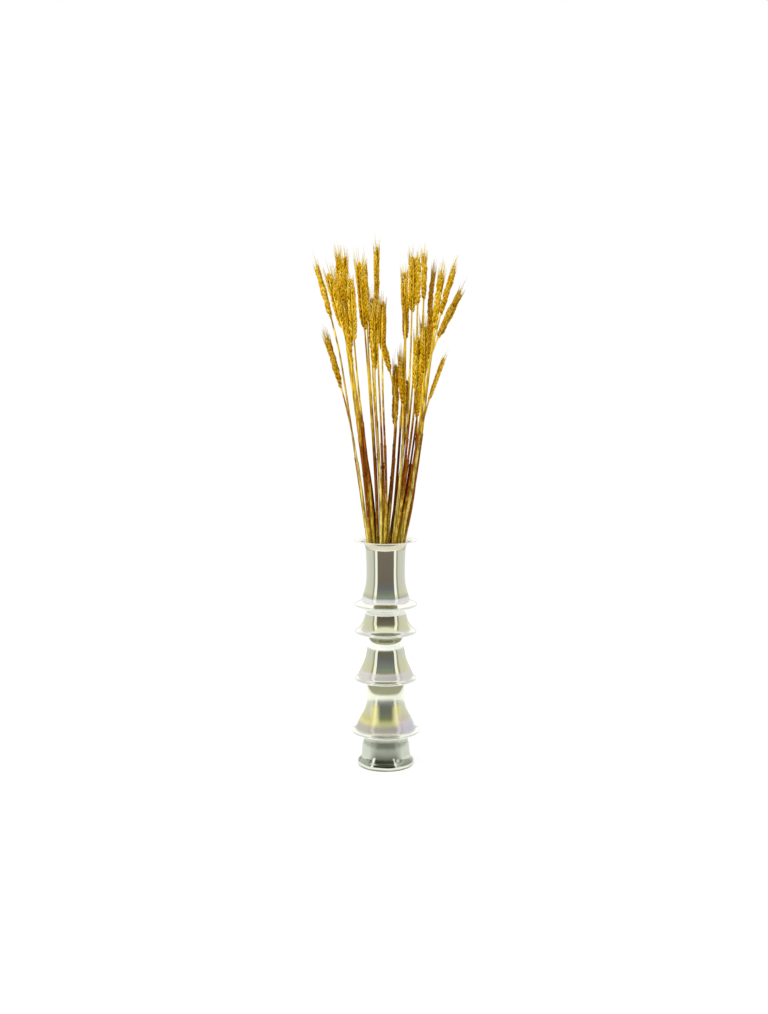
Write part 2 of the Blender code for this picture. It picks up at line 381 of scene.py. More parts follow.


# Vase

# The lustre up the vase: (height, colour, how much of it is a mirror, roughness). The olive neck
# and moss rows are painted shade under the discs and along the foot's bottom edge.
LUSTRE_BANDS = [
    (0.0015, "moss_shade", 0.40, 0.20), (0.0030, "rim", 0.50, 0.15), (0.0045, "rim", 0.60, 0.15),
    (0.0062, "foot", 1.00, 0.06), (0.0155, "foot", 1.00, 0.08), (0.0195, "foot", 0.60, 0.24),
    (0.0400, "foot", 0.60, 0.28), (0.0485, "foot", 0.60, 0.20), (0.0505, "rim", 0.20, 0.20),
    (0.0535, "rim", 0.20, 0.20), (0.0548, "rim", 1.00, 0.07), (0.0575, "rim", 0.85, 0.10),
    (0.0600, "stone", 0.50, 0.18), (0.0680, "stone", 0.45, 0.22), (0.0735, "amber", 0.55, 0.20),
    (0.0790, "amber", 0.97, 0.20), (0.0860, "skirt", 0.97, 0.17), (0.0980, "pearl", 0.95, 0.17),
    (0.1060, "pearl", 0.70, 0.18), (0.1130, "pearl", 0.45, 0.18), (0.1170, "moss_shade", 0.50, 0.15),
    (0.1300, "moss_shade", 0.50, 0.12), (0.1325, "rim", 0.20, 0.15), (0.1355, "rim", 0.20, 0.12),
    (0.1368, "rim", 1.00, 0.06), (0.1402, "rim", 0.90, 0.06), (0.1415, "haze", 0.45, 0.12),
    (0.1490, "haze", 0.45, 0.12), (0.1515, "skirt", 0.94, 0.05), (0.1660, "skirt", 0.97, 0.05),
    (0.1760, "pearl", 1.00, 0.05), (0.1835, "pearl", 1.00, 0.05), (0.1852, "rim", 0.10, 0.16),
    (0.1918, "rim", 0.10, 0.16), (0.1938, "neck", 0.50, 0.12), (0.2030, "neck", 0.50, 0.12),
    (0.2055, "rim", 0.20, 0.12), (0.2084, "rim", 0.20, 0.12), (0.2098, "rim", 1.00, 0.06),
    (0.2140, "rim", 0.95, 0.06), (0.2180, "skirt", 0.97, 0.05), (0.2280, "skirt", 0.97, 0.05),
    (0.2350, "pearl", 1.00, 0.05), (0.2366, "pearl", 1.00, 0.06), (0.2376, "rim", 0.10, 0.14),
    (0.2482, "rim", 0.10, 0.14), (0.2487, "moss_shade", 0.30, 0.20), (0.2494, "moss_shade", 0.30, 0.20),
    (0.2502, "rim", 0.20, 0.12), (0.2518, "rim", 1.00, 0.06), (0.2562, "rim", 1.00, 0.06),
    (0.2575, "blush", 0.35, 0.10), (0.2625, "blush", 0.35, 0.10), (0.2650, "foot", 0.75, 0.06),
    (0.2720, "skirt", 0.97, 0.05), (0.2820, "pearl", 1.00, 0.05), (0.3350, "pearl", 1.00, 0.05),
    (0.3385, "sand", 0.75, 0.08), (0.3470, "sand", 0.75, 0.08), (0.3490, "rim", 0.60, 0.10),
]
# The share of the vase's height at which the second of two colour ramps takes over.
LUSTRE_SPLIT = 0.45
# How the glass that faces the eye is tinted: (height, tint).
FACING_TINTS = [(0.070, WHITE), (0.078, (0.82, 0.86, 0.90)), (0.104, (0.80, 0.84, 0.90)),
                (0.110, WHITE), (0.150, WHITE), (0.161, (0.93, 0.95, 1.25)),
                (0.168, (0.93, 0.95, 1.35)), (0.177, WHITE), (0.222, WHITE),
                (0.226, (0.78, 0.68, 0.72)), (0.2365, (0.74, 0.63, 0.66)), (0.2375, WHITE),
                (0.2630, WHITE), (0.2655, (1.04, 1.18, 1.15)), (0.2710, (1.08, 1.20, 1.38)),
                (0.2790, (1.03, 1.05, 1.42)), (0.2900, WHITE)]
# Necks whose painted olive shade bows up towards their sides: (where it does, how far).
NECK_BOWS = [((0.108, 0.132, 0.003), 0.013), ((0.190, 0.203, 0.002), 0.007)]
# Stretches up the vase: (from, to, softness of both ends). On the foot, the ring and front are
# painted shade and the slashes painted highlights; the amber is partly a painted reflection, and
# the neck and shoulder carry a painted glow.
FOOT_RING = (0.0055, 0.0150, 0.0015)
FOOT_SLASHES = (0.0050, 0.0185, 0.0015)
FOOT_FRONT = (0.0165, 0.0445, 0.0025)
AMBER_GLOW = (0.073, 0.099, 0.006)
HAZY_BAND = (0.1425, 0.1485, 0.0015)
GLOW_SHOULDER = (0.1855, 0.1925, 0.0008)
GLOW_NECK = (0.2372, 0.2478, 0.0006)
# How far aside of the vase's middle the amber and the slashes lie; the amber there is partly a
# painted reflection and the slashes are painted highlights. The slashes' own middle is shifted a
# little, they lean outwards as they go down, and both take away some of the mirror.
AMBER_ASIDE = (0.0105, 0.0225, 0.0035)
SLASH_ASIDE = (0.0192, 0.0222, 0.0010)
SLASH_SHIFT = 0.0025
SLASH_SLANT = 0.34
PLAIN_SHARE = 0.60
# The violet and blue clouds: how far noise moves them aside, the distances aside between which
# they come in and turn from violet to blue, and the heights at which they come in and fade.
CLOUD_DRIFT = 0.020
CLOUD_ASIDE = (0.016, 0.042)
CLOUD_TURN = (0.040, 0.056)
CLOUD_START = (0.055, 0.062)
CLOUD_FADE = (0.092, 0.072, 0.0, 0.75)
HAZY_SHARE = 0.45
# How far noise moves the bands up and down.
BAND_PLAY = 0.0012
# Where the glass slants away from the view, from 0 at the middle to 1 at the edge: the painted
# shade on the foot's front, the middle of the painted dark ring below it, the bow of the bands and
# the tint.
FRONT_SLANT = (0.30, 0.08)
RING_SLANT = (0.16, 0.11)
BOW_SLANT = (0.18, 0.82)
TINT_SLANT = (0.13, 0.09)
# Painted shade: how dark the foot's front is from its top down, and how the dark ring thins to the
# right and upwards.
FRONT_DEPTH = (0.0310, 0.0160, 0.44, 0.88)
RING_ASIDE = (0.010, 0.018, 1.0, 0.45)
RING_DEPTH = (0.0150, 0.0090, 0.55, 1.0)


class LustreVaseProperties(bpy.types.PropertyGroup):
    """Sizes and colours of the vase."""
    turns: bpy.props.IntProperty(
        name="Turns", description="Steps round the turned glass", default=144, min=24)
    outline_step: length_setting(
        "Outline Step", "Spacing of the points along the turned outline", 0.0019)
    wobble: length_setting("Wobble", "How far the blown glass strays from a true circle", 0.0004)
    wobble_size: length_setting("Wobble Size", "Breadth of each wave in the blown glass", 0.06)
    # The glow is painted light: emission on the shaded glass of a neck and a shoulder.
    glow: number_setting("Glow", "Strength of the light through the thinnest glass", 0.22)
    pearl: colour_setting("Pearl", "Silvery lustre of the upright walls", (0.83, 0.85, 0.70))
    rim: colour_setting("Rim", "Whiter lustre of the trumpet rims", (0.90, 0.91, 0.84))
    skirt: colour_setting("Skirt", "Yellow lustre where a bell begins to flare", (0.86, 0.86, 0.60))
    # Amber is a lustre tint, also painted as bright bars of reflection beside the lowest bell's
    # middle.
    amber: colour_setting("Amber", "Deeper yellow of the lowest bell", (0.87, 0.82, 0.37))
    blush: colour_setting("Blush", "Pink lustre above the widest rim", (0.90, 0.87, 0.84))
    haze: colour_setting("Haze", "Grey pink lustre above the third rim", (0.78, 0.755, 0.68))
    violet: colour_setting("Violet", "Violet clouds above the lower rims", (0.74, 0.66, 0.80))
    sky: colour_setting("Sky", "Blue clouds beside the violet", (0.66, 0.76, 0.86))
    sand: colour_setting("Sand", "Warm glass under the lip", (0.63, 0.59, 0.44))
    # Neck and moss are olives of painted shade, under the discs and along the foot's bottom edge.
    neck: colour_setting("Neck", "Olive of the thick glass in a neck", (0.36, 0.36, 0.22))
    moss_shade: colour_setting("Moss", "Darker olive of the lowest neck", (0.31, 0.32, 0.185))
    stone: colour_setting("Stone", "Dull beige between the violet clouds", (0.60, 0.555, 0.46))
    foot: colour_setting("Foot", "Grey green of the foot's wall", (0.56, 0.60, 0.50))
    # Colour of the painted shade on the foot's front and in the dark ring above its edge.
    shadow: colour_setting(
        "Shadow", "Dark green in the hollow above the foot's edge", (0.085, 0.095, 0.065))


def packed_outline(node):
    """The turned node's outline on its +X side, from the inner floor round to the base."""
    shape = merged_copy(node)
    mesh = shape.data
    on_side = {vertex.index for vertex in mesh.vertices
               if abs(vertex.co.y) < WELD and vertex.co.x > -WELD}
    beside = {index: [] for index in on_side}
    for edge in mesh.edges:
        first, second = edge.vertices
        if first in on_side and second in on_side:
            beside[first].append(second)
            beside[second].append(first)
    ends = [index for index in on_side if len(beside[index]) == 1]
    here = max(ends, key=lambda index: mesh.vertices[index].co.z)
    order = [here]
    while True:
        onward = [index for index in beside[here] if index not in order[-2:]]
        if not onward:
            break
        here = onward[0]
        order.append(here)
    outline = [mesh.vertices[index].co.copy() for index in order]
    discard(shape)
    return outline


def rounded(points, step):
    """Points about a step apart on a centripetal Catmull-Rom curve through the points."""
    run = [2 * points[0] - points[1]] + points + [2 * points[-1] - points[-2]]
    smooth = [points[0]]
    for before, start, end, after in zip(run, run[1:], run[2:], run[3:]):
        early = -math.sqrt((start - before).length)
        late = math.sqrt((end - start).length)
        final = late + math.sqrt((after - end).length)
        count = max(2, math.ceil((end - start).length / step))
        for number in range(1, count + 1):
            time = late * number / count
            middle = start.lerp(end, time / late)
            first = before.lerp(start, (time - early) / -early)
            last = end.lerp(after, (time - late) / (final - late))
            rising = first.lerp(middle, (time - early) / (late - early))
            falling = middle.lerp(last, time / final)
            smooth.append(rising.lerp(falling, time / late))
    return smooth


def read_bands(tree, look, share, top, column):
    """One column of the bands, split over two colour ramps, since one can't hold every row."""
    halves = [], []
    for band in LUSTRE_BANDS:
        value = band[column]
        shade = getattr(look, value) if isinstance(value, str) else (value,) * 3
        halves[band[0] >= LUSTRE_SPLIT * top].append((band[0] / top, shade))
    in_upper = number_node(tree, "GREATER_THAN", share, LUSTRE_SPLIT)
    return mixed(tree, in_upper, *(ramp(tree, share, half) for half in halves))


def bell_lustre(tree, look, position, across, level, colour, mirror):
    """Amber beside the middle of the lowest bell, a lustre tint painted as bright bars of
    reflection, and violet and blue clouds over the rims.
    """
    amber = product(tree, within(tree, number_node(tree, "ABSOLUTE", across), *AMBER_ASIDE),
                    within(tree, level, *AMBER_GLOW))
    colour = mixed(tree, amber, colour, look.amber)
    drift = soft_noise(tree, position, scale=34.0, low=0.30, high=0.70)
    turned = number_node(tree, "ADD", across, product(tree, drift, CLOUD_DRIFT))
    cloud = mixed(tree, ranged(tree, turned, *CLOUD_TURN), look.violet, look.sky)
    cloudy = product(tree, ranged(tree, level, *CLOUD_START),
                     ranged(tree, level, *CLOUD_FADE), ranged(tree, turned, *CLOUD_ASIDE))
    colour = mixed(tree, cloudy, colour, cloud)
    hazy = product(tree, within(tree, level, *HAZY_BAND), drift, HAZY_SHARE)
    return mixed(tree, hazy, colour, look.violet), dimmed(tree, mirror, amber, PLAIN_SHARE)


def foot_lustre(tree, look, position, across, facing, level, colour, mirror):
    """The foot's front darkened by painted shade, and below it a patchy ring of painted shade with
    two painted highlights as bright slashes.
    """
    # Painted shade darkens the foot's front, most deeply low down.
    dull = product(tree, ranged(tree, facing, *FRONT_SLANT), within(tree, level, *FOOT_FRONT))
    depth = ranged(tree, level, *FRONT_DEPTH)
    colour = mixed(tree, dull, colour, mixed(tree, depth, look.foot, look.shadow))
    patches = soft_noise(tree, position, scale=75.0, low=0.40, high=0.60)
    patches = number_node(tree, "MAXIMUM", patches, ranged(tree, facing, *RING_SLANT))
    ring = product(tree, within(tree, level, *FOOT_RING), patches,
                   ranged(tree, across, *RING_ASIDE), ranged(tree, level, *RING_DEPTH))
    colour = mixed(tree, ring, colour, look.shadow)
    # Two painted highlights: bright slashes that lean outwards as they go down.
    aside = number_node(tree, "ABSOLUTE", number_node(tree, "ADD", across, SLASH_SHIFT))
    slant = number_node(tree, "ADD", aside, product(tree, level, SLASH_SLANT))
    painted_highlight = product(tree, within(tree, slant, *SLASH_ASIDE), within(tree, level, *FOOT_SLASHES))
    return mixed(tree, painted_highlight, colour, look.rim), dimmed(tree, mirror, painted_highlight, PLAIN_SHARE)


def lustre_material(look):
    """Silvered glass whose lustre changes in bands up the vase, with painted shade, highlights and
    glow.
    """
    material, tree, shader = new_material("lustre_glass")
    position, place = coordinates(tree, "Object")
    facing = node_of(tree, "ShaderNodeLayerWeight").outputs["Facing"]
    clouds = soft_noise(tree, position, scale=26.0, low=0.30, high=0.70)
    level = number_node(tree, "ADD", place["Z"], centred(tree, clouds, BAND_PLAY))
    # The painted olive shade of two necks bows up towards their sides.
    bow = number_node(tree, "ADD", *(product(tree, within(tree, level, *stretch), rise)
                                     for stretch, rise in NECK_BOWS))
    bow = product(tree, bow, ranged(tree, facing, *BOW_SLANT))
    level = number_node(tree, "SUBTRACT", level, bow)

    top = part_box(VASE_NODE)[1].z
    share = number_node(tree, "DIVIDE", level, top)
    colour, mirror, rough = (read_bands(tree, look, share, top, column) for column in (1, 2, 3))
    tint = ramp(tree, share, [(height / top, shade) for height, shade in FACING_TINTS])
    colour = mixed(tree, ranged(tree, facing, *TINT_SLANT), colour, tint, blend="MULTIPLY")
    colour, mirror = bell_lustre(tree, look, position, place["X"], level, colour, mirror)
    colour, mirror = foot_lustre(tree, look, position, place["X"], facing, level, colour, mirror)

    # A painted glow, given as emission, brightens a neck and a shoulder that the discs shade.
    glowing = number_node(tree, "MAXIMUM", within(tree, level, *GLOW_NECK),
                       within(tree, level, *GLOW_SHOULDER))
    _, normal = grain(tree, position, across=26.0, upwards=14.0, relief=0.05)
    feed(tree, shader, {"Base Color": colour, "Metallic": mirror, "Roughness": rough,
                        "Normal": normal, "Emission Color": mixed(tree, glowing, BLACK, colour),
                        "Emission Strength": look.glow})
    return material


class DRIEDWHEAT_OT_vase(bpy.types.Operator):
    """Turn the vase's smooth glass from its packed outline"""
    bl_idname = "dried_wheat.vase"
    bl_label = "Add Lustre Vase"

    def execute(self, context):
        look = context.scene.dried_wheat_vase
        outline = rounded(packed_outline(VASE_NODE), look.outline_step)
        bpy.ops.object.select_all(action="DESELECT")
        bpy.ops.mesh.primitive_plane_add(size=WELD)
        vase = context.object
        vase.name = "lustre_vase"
        open_mesh()
        bpy.ops.mesh.merge(type="CENTER")
        bpy.ops.transform.translate(value=outline[0])
        for here, there in zip(outline, outline[1:]):
            bpy.ops.mesh.extrude_vertices_move(TRANSFORM_OT_translate={"value": there - here})
        bpy.ops.mesh.select_all(action="SELECT")
        bpy.ops.mesh.spin(steps=look.turns, angle=2 * math.pi, center=(0.0, 0.0, 0.0),
                          axis=(0.0, 0.0, 1.0))
        bpy.ops.mesh.select_all(action="SELECT")
        bpy.ops.mesh.remove_doubles(threshold=WELD)
        bpy.ops.mesh.normals_make_consistent(inside=False)
        bpy.ops.object.mode_set(mode="OBJECT")
        waves = bpy.data.textures.new("glass_waves", "CLOUDS")
        waves.noise_scale = look.wobble_size
        blown = vase.modifiers.new("Blown", "DISPLACE")
        blown.texture = waves
        blown.texture_coords = "GLOBAL"
        blown.strength = look.wobble
        select_only(vase)
        bpy.ops.object.modifier_apply(modifier=blown.name)
        bpy.ops.object.shade_smooth()
        vase.data.materials.append(lustre_material(look))
        finish_piece(vase, GLASS_SLOT, VASE_NODE)
        return {"FINISHED"}


# Wheat

SEED = 19

# Husk: (share of its length, share of its girth, bow outwards as a share of its length).
HUSK_SIDES = 7
HUSK_OUTLINE = [(0.0, 0.34, 0.0), (0.12, 0.72, 0.05), (0.36, 1.0, 0.11), (0.64, 0.86, 0.11),
                (0.86, 0.46, 0.05), (1.0, 0.14, -0.02)]
# Bristle: (share of its length, share of its radius).
AWN_SIDES = 3
AWN_TAPER = [(0.0, 1.0), (0.5, 0.75), (1.0, 0.3)]
AWN_START = 0.97
AWN_LENGTHS = (0.35, 1.0)
# How far a bristle follows the spikelet's lean, and its husk's tilt and fan angle.
AWN_LEAN = 0.75
AWN_TILT = 0.3
AWN_FAN = 0.25

# Spikelet: each husk's fan angle, outward tilt, start along the spikelet, and size.
SPIKELET_HUSKS = [(-20.0, 2.0, 0.00, 0.90), (20.0, 2.0, 0.00, 0.90), (-10.0, 9.0, 0.12, 1.0),
                  (10.0, 9.0, 0.12, 1.0), (0.0, 15.0, 0.26, 0.90)]
# How far a husk starts aside of the middle, and how its roll, turn, size and shade vary.
HUSK_ASIDE = 0.0005
HUSK_ROLL = 22.0
HUSK_TURN = 3.0
HUSK_SIZES = (0.88, 1.10)
HUSK_SHADE = 0.5

# Ear: (share of its length, size of the spikelet there), and how its spikelets vary.
EAR_SWELL = [(0.0, 0.62), (0.12, 0.88), (0.32, 1.0), (0.72, 1.0), (0.90, 0.90), (1.0, 0.84)]
EAR_KINDS = 5
EAR_TURN = 50.0
EAR_CORE = 0.42
TIP_HUSK = 0.86
HUSKS_WITHIN = 0.84
BEARD_START = 0.70
AWNED_SHARE = 0.60
SPIKELET_KINDS = 3
SPIKELET_OFFSET = 0.0012
SPIKELET_ROLL = 16.0
SPIKELET_SIZES = (0.96, 1.04)
SPIKELET_LEANS = (0.85, 1.15)
SPIKELET_SHADE = 0.35

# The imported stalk's rings, and the steps between them on the curve that guides its bend.
RING_CORNERS = 6
RING_GAP = 0.005
EAR_LEAST_RADIUS = 0.0025
GUIDE_STEPS = 10

# Stem: the spacing of its stations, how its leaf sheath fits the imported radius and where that
# ends, and how the bare straw above it tapers.
STEM_SIDES = 10
STATION_STEP = 0.022
SHEATH_FIT = 0.97
SHEATH_PLAY = (-0.045, 0.035)
SHEATH_ROOM = 0.012
STRAW_ROOM = 0.02
STRAW_TAPER = (1.02, 0.86)
EAR_ROOM = 0.01
SHEATH_TO_EAR = 0.03
# The sheath's lip and the straw's end at the ear: (distance past it, share of the straw's radius).
SHEATH_LIP = [(-0.006, 1.42), (-0.001, 1.5052), (0.0, 1.562), (0.0006, 1.04)]
STRAW_END = [(-0.003, 0.82), (0.0, 0.943)]
# The ear's core: where it starts, then (distance before the tip, share of its radius).
CORE_START = 0.008
CORE_END = [(0.016, 0.85), (0.007, 0.4)]
# Joint: (distance past its middle, share of the stem's radius).
JOINT_SWELL = [(-0.004, 0.97), (-0.0012, 1.2), (0.0012, 1.2), (0.003, 0.93)]
JOINT_ROOM = 0.005
JOINT_REACH = 0.003
JOINT_PLACES = [(0.10, 0.18), (0.24, 0.31)]
HIGH_JOINT = (0.42, 0.46)
HIGH_JOINT_EVERY = 4

# Stalks whose ears have weathered brown, with how brown each one is.
BROWN_EARS = {7: 0.8, 9: 0.35, 13: 0.8, 15: 0.65, 16: 0.4, 19: 0.75, 23: 0.95, 26: 0.35, 27: 0.8,
              28: 0.35, 32: 0.75, 33: 0.4, 34: 0.8}
BROWN_PLAY = 0.14
TAN_MOST = 0.8
# Stalks whose stems are pale, and those whose stems are dark.
PALE_STEMS = {9, 14, 28, 33}
DARK_STEMS = {3, 7, 11, 18, 23, 27}

# What the grain multiplies a colour by, from its dark to its light.
STREAK_SHADES = (0.50, 0.42, 0.26), (1.45, 1.50, 1.80)
FIBRE_SHADES = (0.72, 0.66, 0.55), (1.26, 1.26, 1.26)
RIB_SHADES = (0.74, 0.66, 0.48), (1.22, 1.22, 1.20)
BLOTCH_SHADE = (0.62, 0.46, 0.30)
JOINT_BROWN = (0.06, 0.018, 0.004)
BLOTCH_SHARE = 0.7
STRAW_ROUGHNESS = (0.42, 0.60)
HUSK_ROUGHNESS = (0.46, 0.64)
# The stem's colours by height, and how far a stalk's own tan and noise move them.
STRAW_COLOURS = [(0.0, "stem_olive"), (0.372, "stem_olive"), (0.420, "sheath_red"),
                 (0.505, "sheath_red"), (0.575, "straw_gold")]
TAN_SHIFT = 0.09
TAN_DRIFT = 0.05
# Where the pale and dark stems fade into gold, and which values of the mark make them so.
LOW_STEM = (0.56, 0.46)
PALE_MARK = (0.74, 0.90)
DARK_MARK = (0.22, 0.06)
# The husk's colours from foot to tip, its dark foot partly its own brown and partly painted shade
# of the gaps between husks, how far its own shade moves them, and how a brown ear is less brown
# towards the tips of its husks.
HUSK_COLOURS = [(0.12, "husk_foot"), (0.46, "husk_middle"), (0.68, "husk_middle"),
                (1.00, "husk_tip")]
SHADE_SHIFT = 0.40
TONE_FADE = (0.2, 1.1, 1.0, 0.65)


class WheatStalkProperties(bpy.types.PropertyGroup):
    """Sizes and colours of the wheat stalks."""
    husk_length: length_setting("Husk Length", "Length of a full husk", 0.0108)
    husk_width: length_setting("Husk Width", "Width of a full husk", 0.0042)
    husk_depth: length_setting("Husk Depth", "Depth of a full husk", 0.0033)
    spikelets: bpy.props.IntProperty(
        name="Spikelets", description="Spikelets on an ear", default=25, min=6)
    ear_length: length_setting(
        "Ear Length", "Length of the model ear that each stalk scales", 0.080)
    spikelet_lean: angle_setting(
        "Spikelet Lean", "How far a spikelet leans out from the ear's axis", 13.0)
    awn_length: length_setting("Awn Length", "Length of the bristles at an ear's tip", 0.027)
    awn_radius: length_setting("Awn Radius", "Radius of a bristle at its foot", 0.00046)
    straw_radius: length_setting(
        "Straw Radius", "Radius of the bare straw above its leaf sheath", 0.0015)
    sheath_top: length_setting("Sheath Top", "Mean height at which a leaf sheath ends", 0.500)
    # The husk's dark foot is partly its own brown and partly painted shade of the gaps between
    # husks.
    husk_foot: colour_setting("Husk Foot", "Colour at a husk's foot", (0.27, 0.095, 0.0005))
    husk_middle: colour_setting("Husk Middle", "Colour on a husk's back", (0.85, 0.535, 0.003))
    husk_tip: colour_setting("Husk Tip", "Colour of a husk's tip and its awn", (1.0, 0.84, 0.17))
    weathered: colour_setting("Weathered", "Colour of a brown, weathered ear", (0.31, 0.112, 0.001))
    straw_gold: colour_setting(
        "Straw Gold", "Colour of the bare straw below the ears", (0.76, 0.54, 0.045))
    sheath_red: colour_setting("Sheath Red", "Red-brown of the leaf sheaths", (0.285, 0.085, 0.005))
    stem_olive: colour_setting(
        "Stem Olive", "Olive gold of the stems at the vase's mouth", (0.54, 0.385, 0.040))
    straw_pale: colour_setting(
        "Straw Pale", "Colour of the palest stems in the bundle", (0.74, 0.62, 0.14))
    stem_dark: colour_setting("Stem Dark", "Dark brown of the oldest stems", (0.11, 0.030, 0.001))


def husk_piece(look):
    """One husk: a keeled, bowed boat along +X, closed at both ends."""
    half_width = look.husk_width / 2
    stations = [(share * look.husk_length, girth * half_width, bow * look.husk_length)
                for share, girth, bow in HUSK_OUTLINE]
    husk = tube_along_x("husk", HUSK_SIDES, stations)
    husk.scale = (1.0, 1.0, look.husk_depth / look.husk_width)
    place_in_mesh(husk)
    set_mark(husk, "along", [vertex.co.x / look.husk_length for vertex in husk.data.vertices])
    return husk


def awn_piece(look):
    """One bristle along +X, of unit length for each husk to scale."""
    awn = tube_along_x("awn", AWN_SIDES, [(share, look.awn_radius * girth, 0.0)
                                          for share, girth in AWN_TAPER])
    set_mark(awn, "along", [1.0 + vertex.co.x for vertex in awn.data.vertices])
    return awn


def spikelet_piece(look, husk, awn, bearded, chance):
    """A fan of five husks on one point, some of them with a bristle if it is bearded."""
    parts = []
    for fan, tilt, start, size in SPIKELET_HUSKS:
        turn = (math.radians(stray(chance, HUSK_ROLL)),
                -math.radians(tilt + stray(chance, HUSK_TURN)),
                math.radians(fan + stray(chance, HUSK_TURN)))
        grow = size * chance.uniform(*HUSK_SIZES)
        aside = math.copysign(HUSK_ASIDE, fan) if fan else 0.0
        foot = Vector((start * look.husk_length, aside, 0.0))
        shade = stray(chance, HUSK_SHADE)
        body = own_copy(husk)
        body.location = foot
        body.rotation_euler = turn
        body.scale = (grow, grow, grow)
        place_in_mesh(body)
        set_one_mark(body, "shade", shade)
        parts.append(body)
        if not bearded or chance.random() > AWNED_SHARE:
            continue
        bristle = own_copy(awn)
        ahead = body.data.vertices[-1].co - foot
        bristle.location = foot + ahead * AWN_START
        lean = look.spikelet_lean * AWN_LEAN + turn[1] * AWN_TILT
        bristle.rotation_euler = (0.0, lean, turn[2] * AWN_FAN)
        bristle.scale = (look.awn_length * chance.uniform(*AWN_LENGTHS), 1.0, 1.0)
        place_in_mesh(bristle)
        set_one_mark(bristle, "shade", shade)
        parts.append(bristle)
    return joined(parts, "spikelet")


def ear_piece(look, husk, awn, chance):
    """A straight ear along +X: spikelets in two rows, and one across its tip."""
    plain, bearded = ([spikelet_piece(look, husk, awn, beard, chance)
                       for _ in range(SPIKELET_KINDS)] for beard in (False, True))
    tip_reach = look.ear_length - TIP_HUSK * look.husk_length
    parts = []
    for number in range(look.spikelets):
        share = number / (look.spikelets - 1)
        last = number == look.spikelets - 1
        spikelet = own_copy(chance.choice(bearded if share > BEARD_START else plain))
        size = read_off(EAR_SWELL, share) * chance.uniform(*SPIKELET_SIZES)
        lean = 0.0 if last else look.spikelet_lean * chance.uniform(*SPIKELET_LEANS)
        side = math.pi * (number % 2) + (math.pi / 2 if last else 0.0)
        spikelet.scale = (size, size, size)
        spikelet.rotation_euler = (0.0, -lean, 0.0)
        spikelet.location = (0.0, 0.0, 0.0 if last else SPIKELET_OFFSET)
        place_in_mesh(spikelet)
        roll = side + math.radians(stray(chance, SPIKELET_ROLL))
        spikelet.rotation_euler = (roll, 0.0, 0.0)
        spikelet.location = (share * tip_reach, 0.0, 0.0)
        place_in_mesh(spikelet)
        shift = stray(chance, SPIKELET_SHADE)
        set_mark(spikelet, "shade", [value + shift for value in marks_of(spikelet, "shade")])
        parts.append(spikelet)
    discard(*plain, *bearded)
    return joined(parts, "ear")


def ear_radius(ear):
    """The radius that most of an ear's husks lie within."""
    spans = sorted(math.hypot(vertex.co.y, vertex.co.z) for vertex in ear.data.vertices)
    return spans[int(len(spans) * HUSKS_WITHIN)]


def packed_course(node):
    """A stalk's ring centres, its reach along them, and its radius at each.

    Packing leaves out corners that lie on a flat face, so a ring that lacks some is passed over.
    """
    shape = merged_copy(node)
    corners = sorted((vertex.co.copy() for vertex in shape.data.vertices),
                     key=lambda place: place.z)
    discard(shape)
    rings = [[]]
    for corner in corners:
        if rings[-1] and corner.z - rings[-1][0].z > RING_GAP:
            rings.append([])
        rings[-1].append(corner)
    centres, radii = [], []
    for ring in rings:
        if len(ring) != RING_CORNERS:
            continue
        centre = sum(ring, Vector()) / RING_CORNERS
        centres.append(centre)
        radii.append((ring[0] - centre).length)
    reaches = [0.0]
    for here, there in zip(centres, centres[1:]):
        reaches.append(reaches[-1] + (there - here).length)
    return centres, reaches, radii


def guide_curve(centres):
    """A smooth curve through ring centres."""
    bpy.ops.object.select_all(action="DESELECT")
    bpy.ops.curve.primitive_bezier_curve_add()
    guide = bpy.context.object
    points = guide.data.splines[0].bezier_points
    points.add(len(centres) - len(points))
    for point, place in zip(points, centres):
        point.co = place
        point.handle_left_type = "AUTO"
        point.handle_right_type = "AUTO"
    guide.data.resolution_u = GUIDE_STEPS
    return guide


def ear_start(radii):
    """The number of the ring at the ear's foot, the last before the stalk thickens."""
    return next(number for number, radius in enumerate(radii) if radius > EAR_LEAST_RADIUS) - 1


def stem_stations(look, reaches, radii, joints, sheath_end):
    """The stem's stations along +X: foot, joints, sheath lip, bare straw and the ear's core."""
    ear_foot, tip = reaches[ear_start(radii)], reaches[-1]
    packed = list(zip(reaches, radii))
    straw = look.straw_radius
    stations = []
    reach = 0.0
    while reach < sheath_end - SHEATH_ROOM:
        stations.append((reach, read_off(packed, reach) * SHEATH_FIT, 0.0))
        reach += STATION_STEP
    stations += [(sheath_end + past, straw * girth, 0.0) for past, girth in SHEATH_LIP]
    reach = sheath_end + STRAW_ROOM
    while reach < ear_foot - EAR_ROOM:
        share = (reach - sheath_end) / (ear_foot - sheath_end)
        stations.append((reach, straw * between(*STRAW_TAPER, share), 0.0))
        reach += STATION_STEP
    stations += [(ear_foot + past, straw * girth, 0.0) for past, girth in STRAW_END]
    core = max(radii) * EAR_CORE
    stations.append((ear_foot + CORE_START, core, 0.0))
    stations += [(tip - before, core * girth, 0.0) for before, girth in CORE_END]
    for joint in joints:
        radius = read_off(packed, joint)
        stations = [station for station in stations if abs(station[0] - joint) > JOINT_ROOM]
        stations += [(joint + past, radius * girth, 0.0) for past, girth in JOINT_SWELL]
    return sorted(stations)


